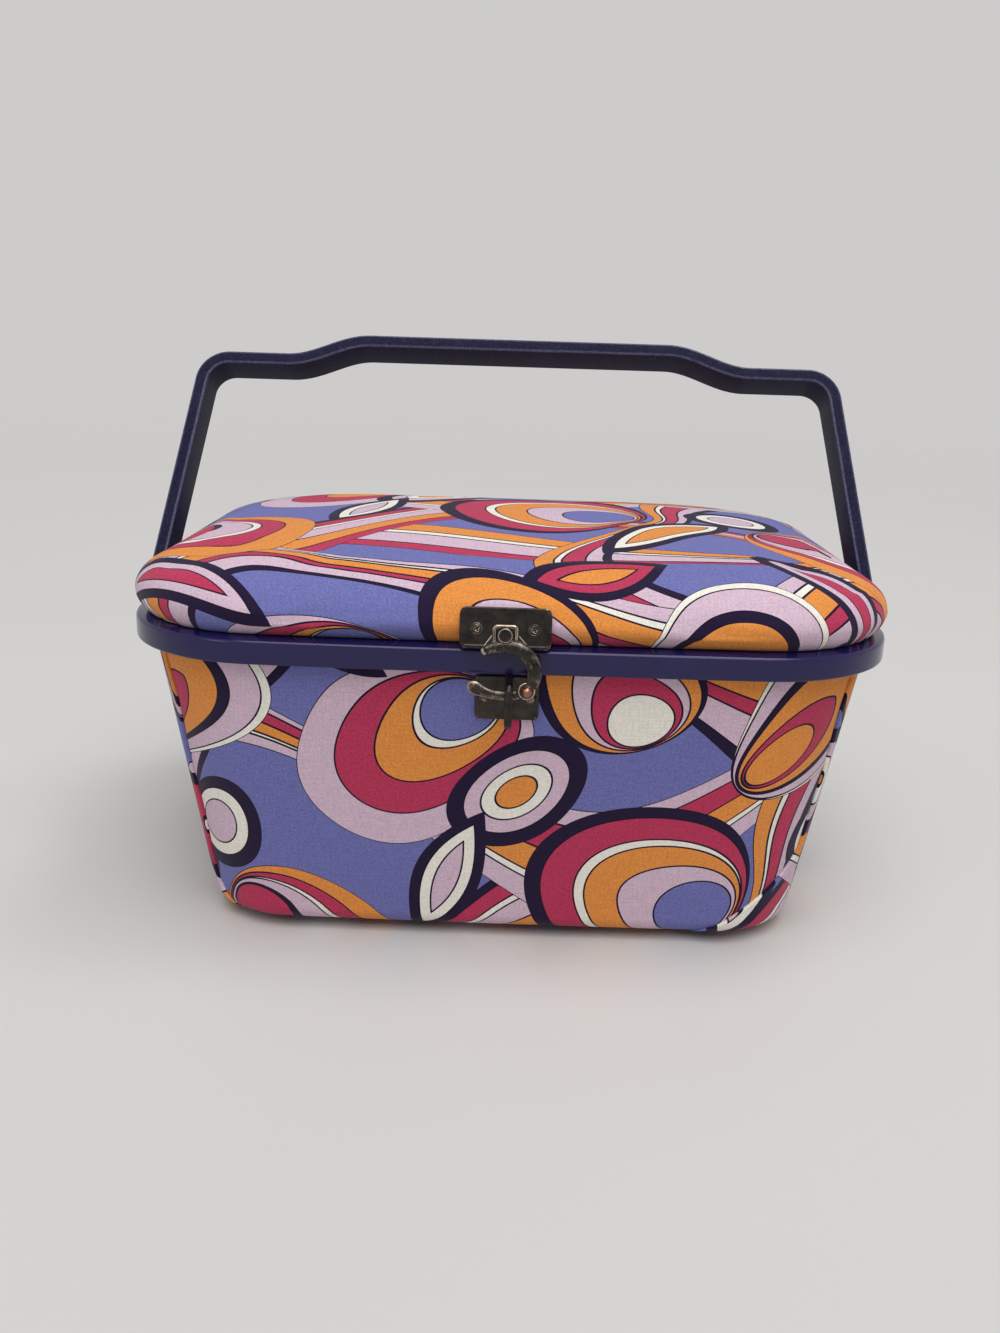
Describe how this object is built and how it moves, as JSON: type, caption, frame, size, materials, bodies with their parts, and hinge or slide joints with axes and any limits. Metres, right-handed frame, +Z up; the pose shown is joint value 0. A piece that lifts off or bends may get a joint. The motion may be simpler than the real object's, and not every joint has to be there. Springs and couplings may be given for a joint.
{
  "type": "sewing basket",
  "caption": "Tapered fabric-covered sewing basket with a padded hinged lid, plastic rim, swinging strap handle, hook clasp and lift-out notions tray.",
  "frame": {"origin": "centre of the overall footprint, on the table under the feet", "axes": "+X to the right of someone facing the clasp, +Y towards the hinges, +Z up"},
  "size_m": [0.3188, 0.2316, 0.2292],
  "materials": {
    "printed_fabric": null,
    "board": "raw greyboard",
    "lining": "matt plain lilac lining cloth",
    "foam": "soft wadding",
    "rim_plastic": "glossy moulded indigo plastic",
    "handle_plastic": "fine-textured indigo plastic",
    "tray_plastic": "satin moulded lilac plastic",
    "foot_rubber": "matt",
    "pincushion_felt": "matt felt",
    "hinge_steel": "dull plated",
    "clasp_bronze": "antique darkened bronze with worn bright edges"
  },
  "bodies": {
    "basket": {"body_shell": "board", "base_panel": "board", "body_lining": "lining", "body_cover_front": "printed_fabric", "body_cover_wrap": "printed_fabric", "foot_1": "foot_rubber", "foot_2": "foot_rubber", "foot_3": "foot_rubber", "foot_4": "foot_rubber", "rim": "rim_plastic", "handle_pivot_pin_left": "rim_plastic", "handle_pivot_pin_right": "rim_plastic", "hinge_body_leaf_left": "hinge_steel", "hinge_body_leaf_right": "hinge_steel", "hinge_pin_left": "hinge_steel", "hinge_pin_right": "hinge_steel", "hinge_body_screw_left_1": "hinge_steel", "hinge_body_screw_left_2": "hinge_steel", "hinge_body_screw_right_1": "hinge_steel", "hinge_body_screw_right_2": "hinge_steel", "clasp_lower_plate": "clasp_bronze", "clasp_lower_screw_left": "clasp_bronze", "clasp_lower_screw_right": "clasp_bronze", "clasp_staple": "clasp_bronze"},
    "lid": {"lid_cover": "printed_fabric", "lid_padding": "foam", "lid_shell": "board", "lid_lining": "lining", "pincushion": "pincushion_felt", "clasp_upper_plate": "clasp_bronze", "clasp_upper_screw_left": "clasp_bronze", "clasp_upper_screw_right": "clasp_bronze", "clasp_rivet": "clasp_bronze", "hinge_lid_leaf_left": "hinge_steel", "hinge_lid_leaf_right": "hinge_steel", "hinge_lid_screw_left_1": "hinge_steel", "hinge_lid_screw_left_2": "hinge_steel", "hinge_lid_screw_right_1": "hinge_steel", "hinge_lid_screw_right_2": "hinge_steel"},
    "clasp_hook": {"clasp_hook": "clasp_bronze"},
    "handle": {"handle_bail": "handle_plastic"},
    "tray": {"notions_tray": "tray_plastic"}
  },
  "joints": [
    {"name": "lid_hinge", "type": "hinge", "parent": "basket", "child": "lid", "pos_m": [0, 0.11337, 0.1269], "axis": [-1, 0, 0], "range_deg": [0, 17]},
    {"name": "handle_swing", "type": "hinge", "parent": "basket", "child": "handle", "pos_m": [0, 0.00348, 0.108], "axis": [1, 0, 0], "range_deg": [-104, 156]},
    {"name": "clasp_swing", "type": "hinge", "parent": "lid", "child": "clasp_hook", "pos_m": [-0.0012, -0.1051, 0.1317], "axis": [0, -0.9903, 0.1392], "range_deg": [0, 100]},
    {"name": "tray_lift", "type": "slide", "parent": "basket", "child": "tray", "axis": [0, 0, 1], "range_m": [0, 0.005]}
  ]
}
